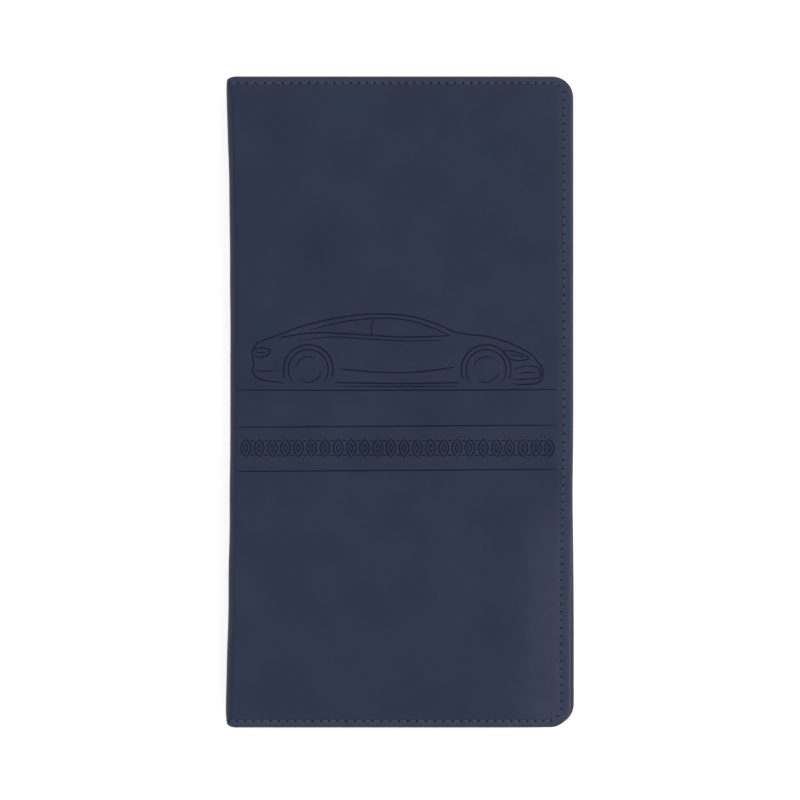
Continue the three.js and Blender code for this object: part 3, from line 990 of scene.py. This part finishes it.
# ---- Flat pieces ----
def plate(loops, back, thick, rim, pitch, bands=(), relief=None, extra=None):
    """A sheet with edges rounded over rim.

    loops are the outer loop, anticlockwise, and its holes, clockwise. back and thick give the depth of
    its back and its thickness at (u, y), and relief adds to its visible face. Its points are pitch apart,
    with rows at the distances in bands from each edge, and the extra points.
    """
    solid = Solid()
    edges = [shifted(loop, rim) for loop in loops]
    starts, ends = segments([(e, True) for e in edges])

    def covered(p):
        ok = within(p, edges[0])
        for hole in edges[1:]:
            ok &= ~within(p, hole)
        return ok

    low, high = loops[0].min(0), loops[0].max(0)
    loose = [shifted(loop, b) for loop in loops for b in bands]
    net = grid(np.arange(low[0] + pitch / 2, high[0], pitch), np.arange(low[1] + pitch / 2, high[1], pitch))
    reach = max(bands, default=0) + 0.6
    loose.append(net[distances(net, starts, ends) > reach])
    if extra is not None:
        loose.append(extra)
    loose = np.vstack(loose)
    loose = loose[covered(loose) & (distances(loose, starts, ends) > 0.3)]
    xy, tris, runs = triangulate([(e, True) for e in edges], [loose], keep=covered)
    deep, thickness = back(*xy.T), thick(*xy.T)
    face = deep + thickness + (relief(*xy.T) if relief else 0)
    top, under = solid.add(xy, face), solid.add(xy, deep)
    solid.faces += top[tris].tolist() + under[tris][:, ::-1].tolist()
    for loop, run in zip(loops, runs):
        here = top[run]
        high_side, low_side = face[run], deep[run]
        for a in np.radians([22, 45, 68, 90, 112, 135, 158]):
            inset = rim * (1 - math.sin(a))
            h = (high_side + low_side) / 2 + (high_side - low_side) / 2 * math.cos(a)
            # The rounded rim carries the edge mark, which the leathers show as painted shade.
            new = solid.add(shifted(loop, inset), h, edge=math.sin(a))
            solid.strip(here, new, closed=True)
            here = new
        solid.strip(here, under[run], closed=True)
    return solid


TURN = spaced(0, math.pi / 2, 0.2)
STEP = 1.6  # along the straight runs of a piece's outline


def cover_loop(inset, start, notch_y=None):
    """A closed loop inside the cover's outline, from start to the free edge, with a thumb notch if asked."""
    r = max(CORNER - inset, SHARPEST)
    cu, cy, end = RIGHT - inset - r, TOP - inset - r, TOP - inset
    return joined(
        (spaced(start, cu, STEP), -end),
        corner(cu, -cy, r, TURN, 0),
        (cu + r, spaced(-cy, cy, STEP)),
        corner(cu, cy, r, TURN, 1),
        (spaced(cu, start, STEP), end),
        *mouth(start, end, -end, notch_y),
    )


NOTCH_RADIUS, NOTCH_DEPTH = 13, 7


def mouth(u, top, bottom, notch_y):
    """A straight edge going down at u, with a round notch in it if asked."""
    if notch_y is None:
        return [(u, spaced(top, bottom, STEP))]
    cu = u + NOTCH_DEPTH - NOTCH_RADIUS
    half = math.acos((u - cu) / NOTCH_RADIUS)
    reach = NOTCH_RADIUS * math.sin(half)
    angle = spaced(half, -half, 0.1)
    return [
        (u, spaced(top, notch_y + reach, STEP)),
        (cu + NOTCH_RADIUS * np.cos(angle), notch_y + NOTCH_RADIUS * np.sin(angle)),
        (u, spaced(notch_y - reach, bottom, STEP)),
    ]


def box_loop(left, right, bottom, top, r=0.0):
    """A rectangle, anticlockwise, whose corners are round if r is given."""
    turn = TURN if r else np.zeros(0)
    cl, cr, cb, ct = left + r, right - r, bottom + r, top - r
    return joined(
        (spaced(cl, cr, STEP), bottom),
        corner(cr, cb, r, turn, 0),
        (right, spaced(cb, ct, STEP)),
        corner(cr, ct, r, turn, 1),
        (spaced(cr, cl, STEP), top),
        corner(cl, ct, r, turn, 2),
        (left, spaced(ct, cb, STEP)),
        corner(cl, cb, r, turn, 3),
    )


def always(value):
    return lambda u, y: np.full(np.shape(u), float(value))


def creased(line_distance, at=1.7):
    """A turned edge: a low bead along it and a line pressed beside it."""

    def relief(u, y):
        d = line_distance(u, y)
        return 0.1 * np.exp(-((d / 1.1) ** 2)) - 0.1 * np.exp(-(((d - at) / 0.3) ** 2))

    return relief


BANDS = (0.8, 1.2, 1.5, 1.9, 2.4, 3.4)
PANEL_RIM = 0.28
SLIP_SAG = 0.28
for side in ("back", "front"):
    # The lining runs on across the fold to the spine's middle.
    def lining_back(u, y):
        return SKIN + GLUE + lift(u)

    loop = np.vstack([cover_path(1.5), MIDDLE[1:-1]])
    rows = grid(spaced(U_MID, U_FOLD + 6, 0.8)[1:], np.arange(-TOP + 6, TOP - 5, 6.0))
    cloth = plate([loop], lining_back, always(LINING_THICK), 0.14, 6, extra=rows)
    covered = [f"{side}_lining"] + (["spine_lining"] if side == "front" else [])
    piece = make(f"{side}_lining_cloth", side, cloth)
    finish_piece(piece, side, "lining_fabric", covered, folds=True)

    # The slip pocket's panel sags a little towards the lining between its sewn edges.
    def slip_back(u, y):
        free = from_outline(u, y) - HEM_WIDTH
        return PANEL_BACK - SLIP_SAG * smooth(free / 14) * (1 + 0.3 * undulation(u, y))

    slip_loop = cover_loop(INSET, SLIP_MOUTH)
    crease = creased(lambda u, y: u - SLIP_MOUTH)
    slip = plate([slip_loop], slip_back, always(PANEL), PANEL_RIM, 3, BANDS, crease)
    piece = make(f"{side}_slip_panel", side, slip)
    finish_piece(piece, side, "inner_leather", [f"{side}_slip_pocket_panel"])

# ---- Windows: a leather frame sewn down along its edges, and a clear sheet behind it ----
LIP = (3.5, 8.0)  # the frame rises between these distances from the outline
WINDOW_ROUND = 5
DOCUMENT_CUT = (-40, 51, -109, 109)
CARD_CUT = (-26, 51, -109, -5)
CARD_NOTCH_Y = (CARD_CUT[2] + CARD_CUT[3]) / 2
SHEET_RISE = FRAME_FACE - PANEL - PANEL_FACE - GLUE


def loop_distance(loop):
    starts, ends = segments([(loop, True)])
    return lambda u, y: distances(np.stack([np.ravel(u), np.ravel(y)], -1), starts, ends)


def window(loop, cut, sewn, mouth_u):
    """The frame's solid, and its hole's loop. sewn(u, y) is the distance in from the frame's sewn edges."""
    hole = box_loop(*cut, WINDOW_ROUND)[::-1]
    from_hole = loop_distance(hole)

    def from_mouth(u, y):
        return np.abs(u - mouth_u)

    def back(u, y):
        return PANEL_FACE + GLUE + SHEET_RISE * ramp(sewn(u, y), *LIP)

    def relief(u, y):
        return creased(from_hole, 3.2)(u, y) + creased(from_mouth, 3.6)(u, y)

    return plate([loop, hole], back, always(PANEL), PANEL_RIM, 3, BANDS, relief), hole


def card_sewn(u, y):
    return np.minimum(from_outline(u, y), CARD_WINDOW_TOP - y + INSET)


card_loop = joined(
    (spaced(CARD_LEFT, RIGHT - CORNER, STEP), -TOP + INSET),
    corner(RIGHT - CORNER, -TOP + CORNER, CORNER - INSET, TURN, 0),
    (RIGHT - INSET, spaced(-TOP + CORNER, CARD_WINDOW_TOP, STEP)),
    (spaced(RIGHT - INSET, CARD_LEFT, STEP), CARD_WINDOW_TOP),
    *mouth(CARD_LEFT, CARD_WINDOW_TOP, -TOP + INSET, CARD_NOTCH_Y),
)
document_loop = cover_loop(INSET, DOCUMENT_MOUTH, notch_y=0)
document_frame, document_hole = window(document_loop, DOCUMENT_CUT, from_outline, DOCUMENT_MOUTH)
card_frame, card_hole = window(card_loop, CARD_CUT, card_sewn, CARD_LEFT)
for side, name, solid in (("back", "document", document_frame), ("front", "card", card_frame)):
    piece = make(f"{name}_window_leather", side, solid)
    finish_piece(piece, side, "inner_leather", [f"{name}_window_frame"])


def sheet_back(u, y):
    """The sheets are a little wavy."""
    return SHEET_BACK - 0.12 * (1 + undulation(u + 300, y))


for side, name in (("back", "document"), ("front", "card")):
    sheet = f"{name}_window_sheet"
    clear = plate([box_loop(*extent(sheet))], sheet_back, always(SHEET_FACE - SHEET_BACK), 0.12, 5)
    finish_piece(make(f"{name}_window_film", side, clear), side, "clear_plastic", [sheet])

# ---- Card slots ----
SLOTS = 3
stack = []  # each panel's mouth and the depth of its face
for slot in range(1, SLOTS + 1):
    panel_name, base_name = f"card_slot_panel_{slot}", f"card_slot_base_{slot}"
    top = extent(panel_name)[3]
    face_z, back_z = span(panel_name, 2)
    back_depth, face = THICKNESS - back_z, THICKNESS - face_z
    stack.append((top, face))
    panel = plate(
        [box_loop(*extent(panel_name))],
        lambda u, y, at=back_depth, t=top: at - 0.1 * (1 + undulation(u, y + 90)) * smooth((t - y) / 6),
        always(face - back_depth),
        0.2,
        3,
        BANDS,
        creased(lambda u, y, t=top: t - y, 3.4),
    )
    finish_piece(make(f"card_panel_{slot}_leather", "front", panel), "front", "inner_leather", [panel_name])
    face_z, back_z = span(base_name, 2)
    fold_loop = box_loop(*extent(base_name), 0.3)
    fold = plate([fold_loop], always(THICKNESS - back_z), always(back_z - face_z), 0.2, 3)
    finish_piece(make(f"card_pocket_fold_{slot}", "front", fold), "front", "lining_fabric", [base_name])


def card_face(y):
    """Depth of the card stack's face at y: it steps down towards the first slot's mouth."""
    face = stack[-1][1] + 0 * y
    for (mouth_y, _), (_, deep), (_, above) in zip(stack[1:], stack, stack[1:]):
        face = face - (above - deep) * smooth((y - mouth_y + 1) / 2.5)
    return face


rail = joined(
    (spaced(CARD_LEFT, CARD_RIGHT, STEP), CARD_BASE),
    (CARD_RIGHT, spaced(CARD_BASE, CARD_TOP, 1.2)),
    (spaced(CARD_RIGHT, CARD_RIGHT - BINDING, 1.0), CARD_TOP),
    (CARD_RIGHT - BINDING, spaced(CARD_TOP, CARD_BASE + BINDING, 1.2)),
    (spaced(CARD_RIGHT - BINDING, CARD_LEFT + BINDING, STEP), CARD_BASE + BINDING),
    (CARD_LEFT + BINDING, spaced(CARD_BASE + BINDING, CARD_TOP, 1.2)),
    (spaced(CARD_LEFT + BINDING, CARD_LEFT, 1.0), CARD_TOP),
    (CARD_LEFT, spaced(CARD_TOP, CARD_BASE, 1.2)),
)
BINDING_PROUD = 0.15  # above the card panels' faces
BINDING_BACK = PANEL_FACE + GLUE


def binding_thick(u, y):
    return card_face(y) + BINDING_PROUD - BINDING_BACK


binding = plate([rail], always(BINDING_BACK), binding_thick, 0.55, 1.0, (0.9, 1.4, 2.0))
piece = make("card_binding_leather", "front", binding)
finish_piece(piece, "front", "inner_leather", ["card_section_binding"])


# ---- Stitching ----
def outer_seam(side):
    return lambda u, y: face_depth(side, u, y)


def back_inside(u, y):
    """Depth of what shows at the seam inside the back cover."""
    face = np.where(u < SLIP_MOUTH, hem_face(u), PANEL_FACE)
    return np.where(u < DOCUMENT_MOUTH, face, PANEL_FACE + GLUE + PANEL)


def front_inside(u, y):
    """Depth of what shows at the seam inside the front cover."""
    face = np.where(u < SLIP_MOUTH, hem_face(u), PANEL_FACE)
    face = np.where((u > CARD_LEFT) & (y > CARD_BASE) & (y < CARD_TOP), card_face(y) + 0.1, face)
    return np.where((u > CARD_LEFT) & (y < CARD_WINDOW_TOP), PANEL_FACE + GLUE + PANEL, face)


seam = needle_holes(seam_path())
for side, within_cover in (("back", back_inside), ("front", front_inside)):
    piece = stitches(f"{side}_seam_stitches", side, [(seam, outer_seam(side), 1), (seam, within_cover, -1)])
    covered = [f"{side}_seam_thread", f"spine_seam_thread_{'top' if side == 'front' else 'bottom'}"]
    finish_piece(piece, side, "seam_thread", covered, folds=True)


def straight(a, b):
    return needle_holes(np.array([a, b], float))


def mouth_row(u, top, bottom, notch_y):
    """Needle holes beside a notched mouth."""
    line = joined(*mouth(u, top, bottom, notch_y), (u, bottom))
    return needle_holes(shifted(line, 2.0, closed=False))


def frame_depth(sewn):
    return lambda u, y: PANEL_FACE + GLUE + PANEL + SHEET_RISE * ramp(sewn(u, y), *LIP)


def hole_row(hole):
    """Needle holes round a window."""
    return needle_holes(shifted(hole, 1.9), closed=True)


slip_row = straight((SLIP_MOUTH + 2, TOP - 5), (SLIP_MOUTH + 2, -TOP + 5))
END = TOP - 5
back_rows = [
    (slip_row, always(PANEL_FACE), -1),
    (mouth_row(DOCUMENT_MOUTH, END, -END, 0), frame_depth(from_outline), -1),
    (hole_row(document_hole), frame_depth(from_outline), -1),
]
head = CARD_WINDOW_TOP - 2
front_rows = [
    (slip_row, always(PANEL_FACE), -1),
    (mouth_row(CARD_LEFT, CARD_WINDOW_TOP - 3, -END, CARD_NOTCH_Y), frame_depth(card_sewn), -1),
    (hole_row(card_hole), frame_depth(card_sewn), -1),
    (straight((CARD_LEFT + 2, head), (CARD_RIGHT - 6, head)), frame_depth(card_sewn), -1),
]
middle_rail = CARD_LEFT + BINDING / 2
bottom_rail = CARD_BASE + BINDING / 2
rail_row = needle_holes(
    np.array([(middle_rail, CARD_TOP - 1), (middle_rail, bottom_rail), (CARD_RIGHT - 5, bottom_rail)])
)
front_rows.append((rail_row, lambda u, y: card_face(y) + BINDING_PROUD, -1))
for mouth_y, face in stack:
    row = straight((CARD_LEFT + BINDING + 1, mouth_y - 1.9), (CARD_RIGHT - BINDING - 1, mouth_y - 1.9))
    front_rows.append((row, always(face), -1))
for side, rows in (("back", back_rows), ("front", front_rows)):
    finish_piece(stitches(f"{side}_pocket_stitches", side, rows), side, "seam_thread")

# ---- Sealed inside the covers: the boards, and the magnets let into them ----
magnet_left, magnet_right = span("back_magnet_upper", 0)
MAGNET_RADIUS = (magnet_right - magnet_left) / 2
SOCKET_RADIUS = MAGNET_RADIUS + 0.3
under, board_thick = always(SKIN + GLUE), always(BOARD_LIFT - GLUE)
for side in ("back", "front"):
    left, right = span(f"{side}_board", 0)
    sockets = [arc(mx, my, SOCKET_RADIUS, SOCKET_RADIUS, 360, 0)[:-1] for mx, my in MAGNETS]
    board = plate([cover_loop(RIGHT - right, left), *sockets], under, board_thick, 0.1, 8)
    finish_piece(make(f"{side}_stiffener", side, board), side, "stiffener_board", [f"{side}_board"])
    for where, (mx, my) in zip(("upper", "lower"), MAGNETS):
        disc_loop = arc(mx, my, MAGNET_RADIUS, MAGNET_RADIUS, 0, 360)[:-1]
        piece = make(f"{side}_magnet_disc_{where}", side, plate([disc_loop], under, board_thick, 0.12, 3))
        finish_piece(piece, side, "magnet_steel", [f"{side}_magnet_{where}"])

# ---- Floor, light and background ----
FLOOR_HALF = 3.0
bpy.ops.mesh.primitive_plane_add(size=2 * FLOOR_HALF, location=(0, 0, -0.0002))
floor = bpy.context.object
floor.name = "floor"
floor_material, floor_tree, floor_shader = new_material("pale_floor")
give(floor_tree, floor_shader, {"Base Color": (0.92, 0.92, 0.92, 1), "Roughness": 0.9})
give(floor_tree, floor_shader, {"Specular IOR Level": 0.1})
give(floor_tree, floor_shader, {"Emission Color": (1, 1, 1, 1), "Emission Strength": 0.5})
floor.data.materials.append(floor_material)

# A pale room with a dim ceiling: bright near the horizon, dark overhead.
world = bpy.data.worlds.new("world")
world.use_nodes = True
sky = world.node_tree
background = sky.nodes["Background"]
direction = node(sky, "ShaderNodeTexCoord").outputs["Generated"]
height = node(sky, "ShaderNodeSeparateXYZ", {"Vector": direction}).outputs["Z"]
give(sky, background, {"Color": (1, 1, 1, 1), "Strength": mapped(sky, height, 0.35, 0.8, 1.0, 0.1)})
bpy.context.scene.world = world


def softbox(name, position, size, power):
    """A rectangular lamp that faces the wallet."""
    data = bpy.data.lights.new(name, "AREA")
    data.shape = "RECTANGLE"
    data.size, data.size_y = size
    data.energy = power
    lamp = bpy.data.objects.new(name, data)
    lamp.location = position
    lamp.rotation_euler = (-Vector(position)).to_track_quat("-Z", "Y").to_euler()
    bpy.context.scene.collection.objects.link(lamp)


softbox("right_softbox", (1.1, 0.1, 0.95), (0.9, 1.2), 10.2)
softbox("left_softbox", (-1.1, 0.1, 0.95), (0.9, 1.2), 4.5)
softbox("top_softbox", (0.1, 1.2, 0.9), (1.2, 0.7), 4.6)
softbox("bottom_softbox", (0.1, -1.1, 0.9), (1.2, 0.7), 3.6)

scene = bpy.context.scene
scene.view_settings.view_transform = "Standard"
scene.view_settings.look = "None"
